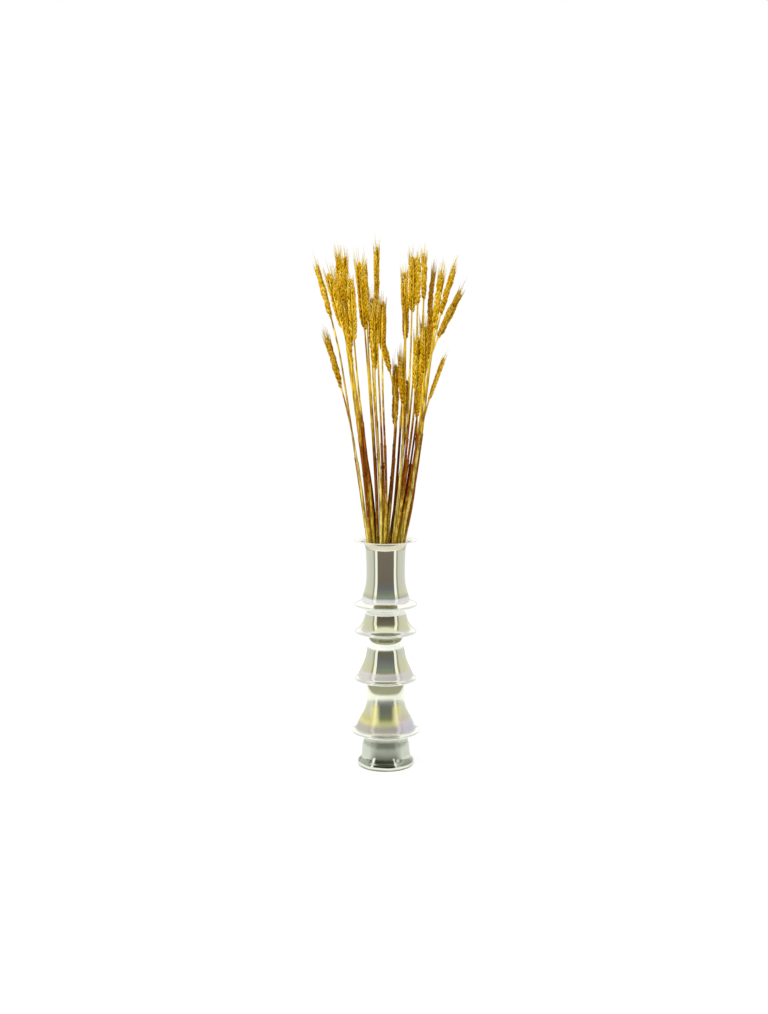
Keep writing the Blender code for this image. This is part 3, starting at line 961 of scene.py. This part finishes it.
def straw_material(look):
    """Stems: gold above, red-brown sheaths, olive at the vase's mouth, with long fibres."""
    material, tree, shader = new_material("straw_stem")
    position, place = coordinates(tree, "Object")
    shift = centred(tree, attribute_value(tree, "tan"), TAN_SHIFT)
    drift = soft_noise(tree, position, scale=70.0, low=0.3, high=0.7)
    level = number_node(tree, "SUBTRACT", place["Z"], shift)
    level = number_node(tree, "SUBTRACT", level, centred(tree, drift, TAN_DRIFT))
    top = packed_box[1].z
    stops = [(height / top, getattr(look, shade)) for height, shade in STRAW_COLOURS]
    colour = ramp(tree, number_node(tree, "DIVIDE", level, top), stops)
    gilt = attribute_value(tree, "gilt")
    low = ranged(tree, place["Z"], *LOW_STEM)
    pale = product(tree, ranged(tree, gilt, *PALE_MARK), low)
    dark = product(tree, ranged(tree, gilt, *DARK_MARK), low)
    colour = mixed(tree, pale, colour, look.straw_pale)
    colour = mixed(tree, dark, colour, look.stem_dark)
    streak, _ = grain(tree, position, across=420.0, upwards=7.0, relief=0.0)
    fibre, normal = grain(tree, position, across=1300.0, upwards=16.0, relief=0.35)
    colour = shaded(tree, colour, streak, *STREAK_SHADES)
    colour = shaded(tree, colour, fibre, *FIBRE_SHADES)
    colour = mixed(tree, attribute_value(tree, "joint"), colour, JOINT_BROWN)
    feed(tree, shader, {"Base Color": colour, "Normal": normal,
                        "Roughness": ranged(tree, fibre, 0.0, 1.0, *STRAW_ROUGHNESS),
                        "Specular IOR Level": 0.02})
    return material


def husk_material(look):
    """Husks: dark at the foot, partly with painted shade, gold on the back and pale at the tip,
    finely ribbed.
    """
    material, tree, shader = new_material("wheat_husk")
    position, _ = coordinates(tree, "Object")
    along = attribute_value(tree, "along")
    shift = product(tree, attribute_value(tree, "shade"), SHADE_SHIFT)
    colour = ramp(tree, number_node(tree, "ADD", along, shift),
                  [(place, getattr(look, shade)) for place, shade in HUSK_COLOURS])
    rib, normal = grain(tree, position, across=1700.0, upwards=130.0, relief=0.45)
    colour = shaded(tree, colour, rib, *RIB_SHADES)
    blotch = soft_noise(tree, position, scale=360.0, low=0.44, high=0.62)
    speckled = mixed(tree, 1.0, colour, BLOTCH_SHADE, blend="MULTIPLY")
    colour = mixed(tree, product(tree, blotch, BLOTCH_SHARE), colour, speckled)
    tone = product(tree, attribute_value(tree, "tone"), ranged(tree, along, *TONE_FADE))
    colour = mixed(tree, tone, colour, look.weathered)
    feed(tree, shader, {"Base Color": colour, "Normal": normal,
                        "Roughness": ranged(tree, rib, 0.0, 1.0, *HUSK_ROUGHNESS),
                        "Specular IOR Level": 0.0})
    return material


class DRIEDWHEAT_OT_stalks(bpy.types.Operator):
    """Build each wheat stalk and bend it along its packed course"""
    bl_idname = "dried_wheat.stalks"
    bl_label = "Add Wheat Stalks"

    def execute(self, context):
        look = context.scene.dried_wheat_stalks
        chance = random.Random(SEED)
        husk = husk_piece(look)
        awn = awn_piece(look)
        ears = [ear_piece(look, husk, awn, chance) for _ in range(EAR_KINDS)]
        finishes = straw_material(look), husk_material(look)
        for number, node in enumerate(STALK_NODES, start=1):
            self.add_stalk(look, number, node, ears[number % EAR_KINDS], finishes, chance)
        discard(husk, awn, *ears)
        return {"FINISHED"}

    def add_stalk(self, look, number, node, ear_model, finishes, chance):
        """One stalk: its straight stem and ear, joined and bent along its guide."""
        centres, reaches, radii = packed_course(node)
        ear_foot = reaches[ear_start(radii)]
        sheath_end = look.sheath_top + chance.uniform(*SHEATH_PLAY)
        sheath_end = min(sheath_end, ear_foot - SHEATH_TO_EAR)
        joints = [chance.uniform(*place) for place in JOINT_PLACES]
        if number % HIGH_JOINT_EVERY == 0:
            joints.append(chance.uniform(*HIGH_JOINT))
        stem = tube_along_x("stem", STEM_SIDES,
                            stem_stations(look, reaches, radii, joints, sheath_end))
        away = [min(abs(vertex.co.x - joint) for joint in joints) for vertex in stem.data.vertices]
        set_mark(stem, "joint", [max(1.0 - distance / JOINT_REACH, 0.0) for distance in away])
        stem.data.materials.append(finishes[0])
        ear = own_copy(ear_model)
        girth = max(radii) / ear_radius(ear_model)
        ear.scale = ((reaches[-1] - ear_foot) / look.ear_length, girth, girth)
        ear.rotation_euler = (math.radians(90.0 + stray(chance, EAR_TURN)), 0.0, 0.0)
        ear.location = (ear_foot, 0.0, 0.0)
        place_in_mesh(ear)
        ear.data.materials.append(finishes[1])
        stalk = joined([ear, stem], node.replace("wheat_stalk", "dry_wheat"))
        tone = BROWN_EARS.get(number, 0.0) + stray(chance, BROWN_PLAY)
        set_one_mark(stalk, "tone", max(tone, 0.0))
        set_one_mark(stalk, "tan", chance.uniform(0.0, TAN_MOST))
        gilt = 0.5 + 0.5 * (number in PALE_STEMS) - 0.5 * (number in DARK_STEMS)
        set_one_mark(stalk, "gilt", gilt)
        guide = guide_curve(centres)
        select_only(stalk)
        bend = stalk.modifiers.new("Bend", "CURVE")
        bend.object = guide
        bend.deform_axis = "POS_X"
        bpy.ops.object.modifier_apply(modifier=bend.name)
        bpy.ops.object.shade_smooth()
        discard(guide)
        finish_piece(stalk, STRAW_SLOT, node)


# Stage

# Each lamp: its name, its place, its width, and its share of the key lamp's power.
LAMPS = [("key", (-1.3, -1.5, 1.9), 1.2, 1.0), ("fill", (1.5, 0.9, 1.5), 1.4, 0.45)]
LAMP_AIM = Vector((0.0, 0.0, 0.4))
FLOOR_SIDES = 128
FLOOR_DROP = 0.0003
FLOOR_WHITE = (0.86, 0.86, 0.86)
FLOOR_IN_MIRRORS = (0.30, 0.30, 0.20)

# The tent in front, from below upwards: (share of the way from nadir to zenith, colour).
TENT_OPENING = [(0.345, (0.90, 0.88, 0.82)), (0.375, (0.21, 0.175, 0.155)),
                (0.460, (0.175, 0.150, 0.135)), (0.560, (0.155, 0.152, 0.130)),
                (0.620, (0.175, 0.175, 0.155)), (0.660, (0.19, 0.22, 0.19)),
                (0.705, (0.25, 0.28, 0.23)), (0.735, (0.42, 0.45, 0.38)),
                (0.770, (0.84, 0.85, 0.80))]
# The tent all round, from its front to its back: (share of a half turn, colour).
TENT_WALLS = [(0.270, (1.08, 1.07, 1.04)), (0.350, (1.08, 1.07, 1.04)),
              (0.372, (0.38, 0.37, 0.36)), (0.405, (0.38, 0.37, 0.36)),
              (0.440, (0.66, 0.66, 0.64)), (0.700, (0.72, 0.72, 0.70)),
              (1.000, (0.80, 0.80, 0.78))]
TENT_ROOF = (0.86, 0.86, 0.83)
TENT_BACK = (1.15, 1.15, 1.13)
TENT_VENT = (0.24, 0.24, 0.14)
TENT_IN_MIRRORS = (0.30, 0.30, 0.19)
VENT_EDGE = 0.02
TWICE_MIRRORED = 1.5
# Where the tent's parts meet: its opening and walls, its walls and roof, and its bright back,
# which lies behind and above the middle.
OPENING_EDGE = (0.282, 0.270)
ROOF_EDGE = (0.745, 0.80)
BACK_EDGE = (0.72, 0.86)
BACK_FOOT = (0.51, 0.54)


class StudioStageProperties(bpy.types.PropertyGroup):
    """The floor, the lights and the camera."""
    floor_radius: length_setting("Floor Radius", "Radius of the pale floor", 0.85)
    floor_glow: number_setting("Floor Glow", "Strength of the floor's own white", 0.32)
    soft_light: number_setting("Soft Light", "Level of the even light from all round", 0.72)
    key_power: number_setting(
        "Key Power", "Power of the large lamp at the front left", 26.0, unit="POWER")
    vent_size: angle_setting("Vent Size", "Angle from the vent's middle to its edge", 22.0)
    camera_distance: length_setting(
        "Camera Distance", "Distance of the camera in front of the vase", 1.914)
    camera_height: length_setting("Camera Height", "Height of the camera above the floor", 0.629)
    camera_aside: length_setting("Camera Aside", "How far the camera stands to the left", 0.0026)
    camera_pitch: angle_setting("Camera Pitch", "How far the camera looks down", 6.83)
    lens: number_setting("Lens", "Focal length in millimetres", 45.23)


def in_mirrors(tree, path):
    """1 for what shows in a mirror that is itself seen in a mirror."""
    return number_node(tree, "GREATER_THAN", path["Glossy Depth"], TWICE_MIRRORED)


def floor_material(look):
    """A pale floor: white where nothing shades it, dull in a mirror's mirror."""
    material, tree, shader = new_material("pale_floor")
    path = node_of(tree, "ShaderNodeLightPath").outputs
    again = in_mirrors(tree, path)
    seen = number_node(tree, "MAXIMUM", path["Is Camera Ray"], path["Is Glossy Ray"])
    seen = number_node(tree, "SUBTRACT", seen, again, clamp=True)
    feed(tree, shader, {"Base Color": mixed(tree, again, FLOOR_WHITE, FLOOR_IN_MIRRORS),
                        "Roughness": 0.9, "Specular IOR Level": 0.0,
                        "Emission Color": mixed(tree, seen, BLACK, WHITE),
                        "Emission Strength": look.floor_glow})
    return material


def studio_world(look):
    """Even light and a white background, with a tent that only mirrors see.

    The tent has a dark opening in front, between two bright edges, and a vent overhead.
    It looks dull in a mirror that is seen in another mirror.
    """
    world = bpy.data.worlds.new("studio")
    world.use_nodes = True
    tree = world.node_tree
    _, way = coordinates(tree, "Generated")
    turn = number_node(tree, "ARCTAN2", way["X"], product(tree, way["Y"], -1.0))
    turn = number_node(tree, "DIVIDE", number_node(tree, "ABSOLUTE", turn), math.pi)
    rise = number_node(tree, "DIVIDE", number_node(tree, "ARCSINE", way["Z"]), math.pi)
    rise = number_node(tree, "ADD", rise, 0.5)
    tent = mixed(tree, ranged(tree, turn, *OPENING_EDGE), ramp(tree, turn, TENT_WALLS),
                 ramp(tree, rise, TENT_OPENING))
    tent = mixed(tree, ranged(tree, rise, *ROOF_EDGE), tent, TENT_ROOF)
    behind = product(tree, ranged(tree, turn, *BACK_EDGE), ranged(tree, rise, *BACK_FOOT))
    tent = mixed(tree, behind, tent, TENT_BACK)
    edge = math.cos(look.vent_size)
    vent = ranged(tree, way["Z"], edge - VENT_EDGE, edge + VENT_EDGE)
    tent = mixed(tree, vent, tent, TENT_VENT)
    path = node_of(tree, "ShaderNodeLightPath").outputs
    tent = mixed(tree, in_mirrors(tree, path), tent, TENT_IN_MIRRORS)
    colour = mixed(tree, path["Is Glossy Ray"], (look.soft_light,) * 3, tent)
    plain = number_node(tree, "MAXIMUM", path["Is Camera Ray"], path["Is Transmission Ray"])
    feed(tree, tree.nodes["Background"], {"Color": mixed(tree, plain, colour, WHITE)})
    return world


class DRIEDWHEAT_OT_stage(bpy.types.Operator):
    """Lay the floor, set the lights and place the camera"""
    bl_idname = "dried_wheat.stage"
    bl_label = "Add Studio Stage"

    def execute(self, context):
        look = context.scene.dried_wheat_stage
        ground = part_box(VASE_NODE)[0].z - FLOOR_DROP
        bpy.ops.object.select_all(action="DESELECT")
        bpy.ops.mesh.primitive_circle_add(vertices=FLOOR_SIDES, radius=look.floor_radius,
                                          fill_type="NGON", location=(0.0, 0.0, ground))
        floor = context.object
        floor.name = "pale_floor"
        floor.data.materials.append(floor_material(look))
        context.scene.world = studio_world(look)
        for name, place, width, share in LAMPS:
            bpy.ops.object.light_add(type="AREA", location=place)
            lamp = context.object
            lamp.name = name
            lamp.data.size = width
            lamp.data.energy = look.key_power * share
            aim = LAMP_AIM - lamp.location
            lamp.rotation_euler = aim.to_track_quat("-Z", "Y").to_euler()
            lamp.visible_glossy = False
            lamp.visible_camera = False
        bpy.ops.object.camera_add(
            location=(-look.camera_aside, -look.camera_distance, look.camera_height),
            rotation=(math.pi / 2 - look.camera_pitch, 0.0, 0.0))
        camera = context.object
        camera.data.lens = look.lens
        context.scene.camera = camera
        context.scene.view_settings.view_transform = "Standard"
        return {"FINISHED"}


# Panel and registration

class DRIEDWHEAT_PT_panel(bpy.types.Panel):
    """Lists the sizes, colours and pieces"""
    bl_idname = "DRIEDWHEAT_PT_panel"
    bl_label = "Dried Wheat"
    bl_space_type = "VIEW_3D"
    bl_region_type = "UI"
    bl_category = "Dried Wheat"

    def draw(self, context):
        for group, step in GROUPS_AND_STEPS:
            look = getattr(context.scene, group)
            box = self.layout.box()
            for name in look.__annotations__:
                box.prop(look, name)
            box.operator("dried_wheat." + step)


GROUPS_AND_STEPS = [("dried_wheat_vase", "vase"), ("dried_wheat_stalks", "stalks"),
                    ("dried_wheat_stage", "stage")]
PROPERTIES = [LustreVaseProperties, WheatStalkProperties, StudioStageProperties]
CLASSES = PROPERTIES + [DRIEDWHEAT_OT_vase, DRIEDWHEAT_OT_stalks, DRIEDWHEAT_OT_stage,
                        DRIEDWHEAT_PT_panel]


def register():
    for entry in CLASSES:
        bpy.utils.register_class(entry)
    for (group, _), kind in zip(GROUPS_AND_STEPS, PROPERTIES):
        setattr(bpy.types.Scene, group, bpy.props.PointerProperty(type=kind))


def unregister():
    for group, _ in GROUPS_AND_STEPS:
        delattr(bpy.types.Scene, group)
    for entry in reversed(CLASSES):
        bpy.utils.unregister_class(entry)


def main():
    """Register, and build every piece and the stage."""
    register()
    bpy.ops.dried_wheat.vase()
    bpy.ops.dried_wheat.stalks()
    bpy.ops.dried_wheat.stage()


if __name__ == "__main__":
    main()
